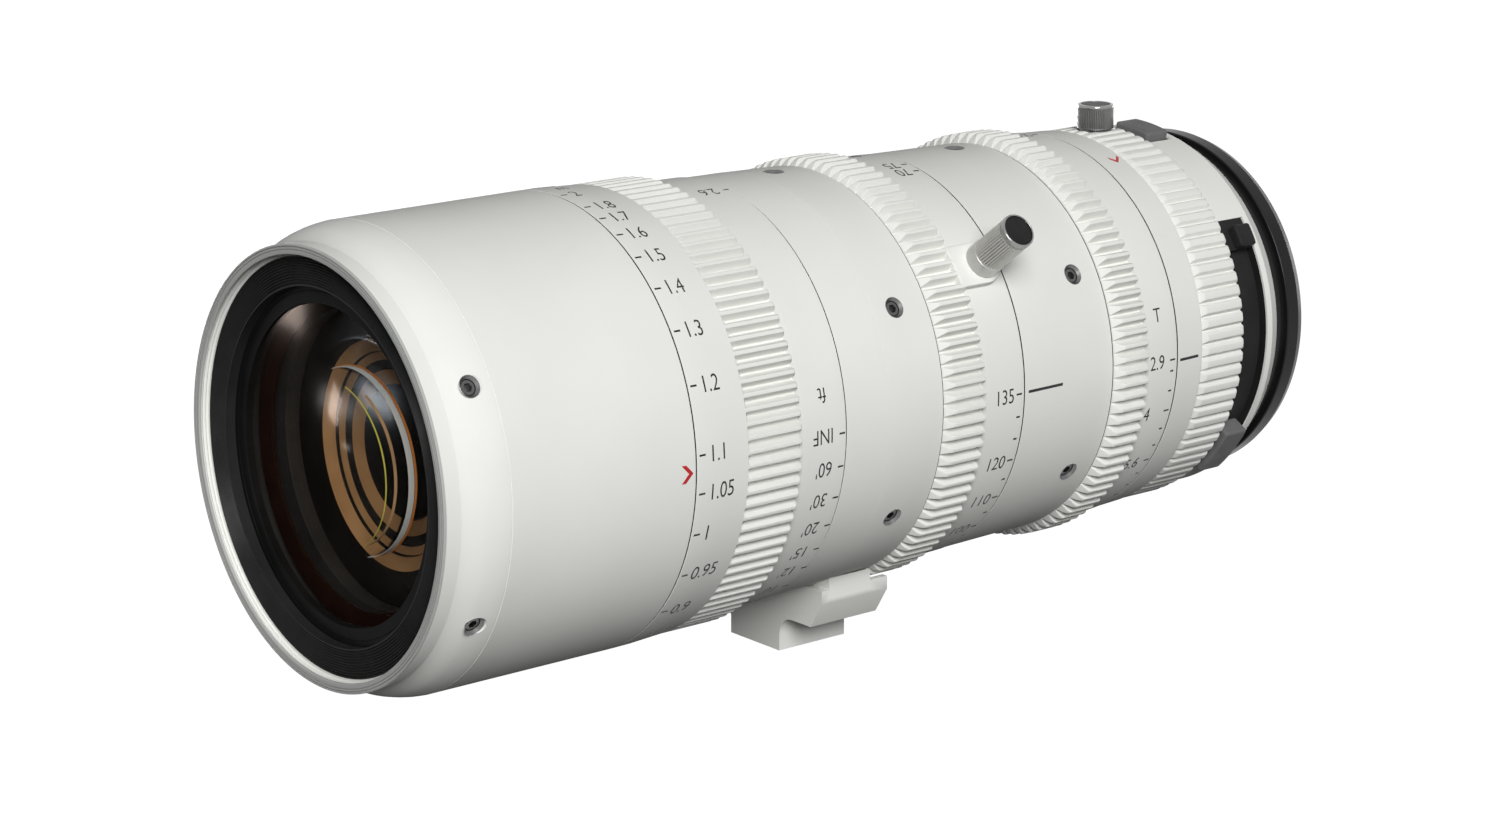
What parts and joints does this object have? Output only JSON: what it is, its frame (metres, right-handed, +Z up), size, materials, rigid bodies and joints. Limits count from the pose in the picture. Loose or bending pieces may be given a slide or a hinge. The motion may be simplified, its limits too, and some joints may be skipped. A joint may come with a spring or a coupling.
{
  "type": "cinema zoom lens",
  "caption": "White cinema zoom lens with geared focus, zoom and iris rings, a zoom lever, a support foot, a lock ring and a bayonet camera mount.",
  "frame": {"origin": "centre of the camera mount's flange face, on the optical axis", "axes": "+Y along the optical axis towards the camera, +Z up, +X towards the side with the zoom lever"},
  "size_m": [0.0875, 0.2225, 0.096],
  "materials": {
    "white_paint": "satin off-white paint",
    "black_anodised": "matte black anodised",
    "trim_black": "black anodised, fine ridges",
    "front_glass": "coated glass",
    "inner_glass": "coated glass",
    "rear_glass": "coated glass",
    "screw_steel": "dark steel",
    "pin_steel": "ground steel",
    "sleeve_brass": "turned brass",
    "knob_steel": "knurled steel",
    "dark_steel": "dark knurled steel",
    "inlay_black": "matte black",
    "lug_black": "matte dark grey",
    "collar_black": "satin black",
    "mount_steel": "satin chrome",
    "blade_black": "blackened steel"
  },
  "bodies": {
    "barrel": {"main_tube": "black_anodised", "front_barrel": "white_paint", "front_trim_ring": "trim_black", "front_retainer": "trim_black", "front_cell": "black_anodised", "front_element": "front_glass", "inner_element": "inner_glass", "inner_retainer": "black_anodised", "barrel_screws": "screw_steel", "mid_barrel_front": "white_paint", "support_foot": "white_paint", "foot_screws": "screw_steel", "guide_tube": "black_anodised", "mid_barrel_rear": "white_paint", "iris_plate": "black_anodised", "index_band": "white_paint", "rear_tube": "black_anodised", "rear_barrel": "white_paint", "mount_collar": "collar_black", "mount_flange": "mount_steel", "mount_screws": "screw_steel"},
    "focus_ring": {"focus_ring": "white_paint", "focus_sleeve": "sleeve_brass", "focus_drive_pin": "pin_steel"},
    "focus_cell": {"focus_cell": "black_anodised", "focus_element": "inner_glass"},
    "zoom_ring": {"zoom_ring": "white_paint", "zoom_lever": "knob_steel", "zoom_lever_inlay": "inlay_black", "zoom_cam_sleeve": "sleeve_brass", "zoom_drive_pin": "pin_steel"},
    "variator": {"variator_cell": "black_anodised", "variator_element": "inner_glass", "variator_pins": "sleeve_brass"},
    "compensator": {"compensator_cell": "black_anodised", "compensator_element": "inner_glass", "compensator_pins": "sleeve_brass"},
    "iris_ring": {"iris_ring": "white_paint", "iris_rotor": "black_anodised", "iris_drive_pin": "pin_steel"},
    "back_focus_ring": {"back_focus_ring": "white_paint", "back_focus_pin": "pin_steel"},
    "lock_knob": {"lock_knob": "dark_steel", "lock_knob_inlay": "inlay_black"},
    "rear_cell": {"rear_cell": "black_anodised", "rear_element": "rear_glass"},
    "lock_ring": {"lock_ring": "lug_black"},
    "iris_blade_1": {"iris_blade_1": "blade_black"},
    "iris_blade_2": {"iris_blade_2": "blade_black"},
    "iris_blade_3": {"iris_blade_3": "blade_black"},
    "iris_blade_4": {"iris_blade_4": "blade_black"},
    "iris_blade_5": {"iris_blade_5": "blade_black"},
    "iris_blade_6": {"iris_blade_6": "blade_black"},
    "iris_blade_7": {"iris_blade_7": "blade_black"},
    "iris_blade_8": {"iris_blade_8": "blade_black"},
    "iris_blade_9": {"iris_blade_9": "blade_black"}
  },
  "joints": [
    {"name": "focus_turn", "type": "hinge", "parent": "barrel", "child": "focus_ring", "pos_m": [0, -0.1475, 0], "axis": [0, 1, 0], "range_deg": [-100, 175]},
    {"name": "focus_slide", "type": "slide", "parent": "barrel", "child": "focus_cell", "axis": [0, 1, 0], "range_m": [-0.0037, 0.0064]},
    {"name": "zoom_turn", "type": "hinge", "parent": "barrel", "child": "zoom_ring", "pos_m": [0, -0.0975, 0], "axis": [0, 1, 0], "range_deg": [-105, 0]},
    {"name": "variator_slide", "type": "slide", "parent": "barrel", "child": "variator", "axis": [0, 1, 0], "range_m": [-0.01801, 0]},
    {"name": "compensator_slide", "type": "slide", "parent": "barrel", "child": "compensator", "axis": [0, 1, 0], "range_m": [0, 0.006]},
    {"name": "iris_turn", "type": "hinge", "parent": "barrel", "child": "iris_ring", "pos_m": [0, -0.0525, 0], "axis": [0, 1, 0], "range_deg": [-90, 0]},
    {"name": "back_focus_turn", "type": "hinge", "parent": "barrel", "child": "back_focus_ring", "pos_m": [0, -0.0295, 0], "axis": [0, 1, 0], "range_deg": [-15, 15]},
    {"name": "rear_cell_slide", "type": "slide", "parent": "barrel", "child": "rear_cell", "axis": [0, 1, 0], "range_m": [-0.00041, 0.00041]},
    {"name": "lock_knob_turn", "type": "hinge", "parent": "back_focus_ring", "child": "lock_knob", "pos_m": [0, -0.02809, 0.0385], "axis": [0, 0, 1], "range_deg": [0, 270]},
    {"name": "lock_ring_turn", "type": "hinge", "parent": "barrel", "child": "lock_ring", "pos_m": [0, -0.0195, 0], "axis": [0, 1, 0], "range_deg": [-55, 0]},
    {"name": "iris_blade_1_turn", "type": "hinge", "parent": "barrel", "child": "iris_blade_1", "pos_m": [0.0256, -0.05277, 0], "axis": [0, 1, 0], "range_deg": [0, 24.2]},
    {"name": "iris_blade_2_turn", "type": "hinge", "parent": "barrel", "child": "iris_blade_2", "pos_m": [0.01961, -0.05244, -0.01646], "axis": [0, 1, 0], "range_deg": [0, 24.2]},
    {"name": "iris_blade_3_turn", "type": "hinge", "parent": "barrel", "child": "iris_blade_3", "pos_m": [0.00445, -0.05211, -0.02521], "axis": [0, 1, 0], "range_deg": [0, 24.2]},
    {"name": "iris_blade_4_turn", "type": "hinge", "parent": "barrel", "child": "iris_blade_4", "pos_m": [-0.0128, -0.05178, -0.02217], "axis": [0, 1, 0], "range_deg": [0, 24.2]},
    {"name": "iris_blade_5_turn", "type": "hinge", "parent": "barrel", "child": "iris_blade_5", "pos_m": [-0.02406, -0.05145, -0.00876], "axis": [0, 1, 0], "range_deg": [0, 24.2]},
    {"name": "iris_blade_6_turn", "type": "hinge", "parent": "barrel", "child": "iris_blade_6", "pos_m": [-0.02406, -0.05112, 0.00876], "axis": [0, 1, 0], "range_deg": [0, 24.2]},
    {"name": "iris_blade_7_turn", "type": "hinge", "parent": "barrel", "child": "iris_blade_7", "pos_m": [-0.0128, -0.05079, 0.02217], "axis": [0, 1, 0], "range_deg": [0, 24.2]},
    {"name": "iris_blade_8_turn", "type": "hinge", "parent": "barrel", "child": "iris_blade_8", "pos_m": [0.00445, -0.05046, 0.02521], "axis": [0, 1, 0], "range_deg": [0, 24.2]},
    {"name": "iris_blade_9_turn", "type": "hinge", "parent": "barrel", "child": "iris_blade_9", "pos_m": [0.01961, -0.05013, 0.01646], "axis": [0, 1, 0], "range_deg": [0, 24.2]}
  ],
  "couplings": [
    {"joint": "focus_slide", "follows": "focus_turn", "m_per_rad": 0.0020835},
    {"joint": "variator_slide", "follows": "zoom_turn", "m_per_rad": 0.0098221},
    {"joint": "compensator_slide", "follows": "zoom_turn", "m_per_rad": -0.003274},
    {"joint": "rear_cell_slide", "follows": "back_focus_turn", "m_per_rad": -0.0015279},
    {"joint": "iris_blade_1_turn", "follows": "iris_turn", "ratio": -0.26667},
    {"joint": "iris_blade_2_turn", "follows": "iris_turn", "ratio": -0.26667},
    {"joint": "iris_blade_3_turn", "follows": "iris_turn", "ratio": -0.26667},
    {"joint": "iris_blade_4_turn", "follows": "iris_turn", "ratio": -0.26667},
    {"joint": "iris_blade_5_turn", "follows": "iris_turn", "ratio": -0.26667},
    {"joint": "iris_blade_6_turn", "follows": "iris_turn", "ratio": -0.26667},
    {"joint": "iris_blade_7_turn", "follows": "iris_turn", "ratio": -0.26667},
    {"joint": "iris_blade_8_turn", "follows": "iris_turn", "ratio": -0.26667},
    {"joint": "iris_blade_9_turn", "follows": "iris_turn", "ratio": -0.26667}
  ]
}
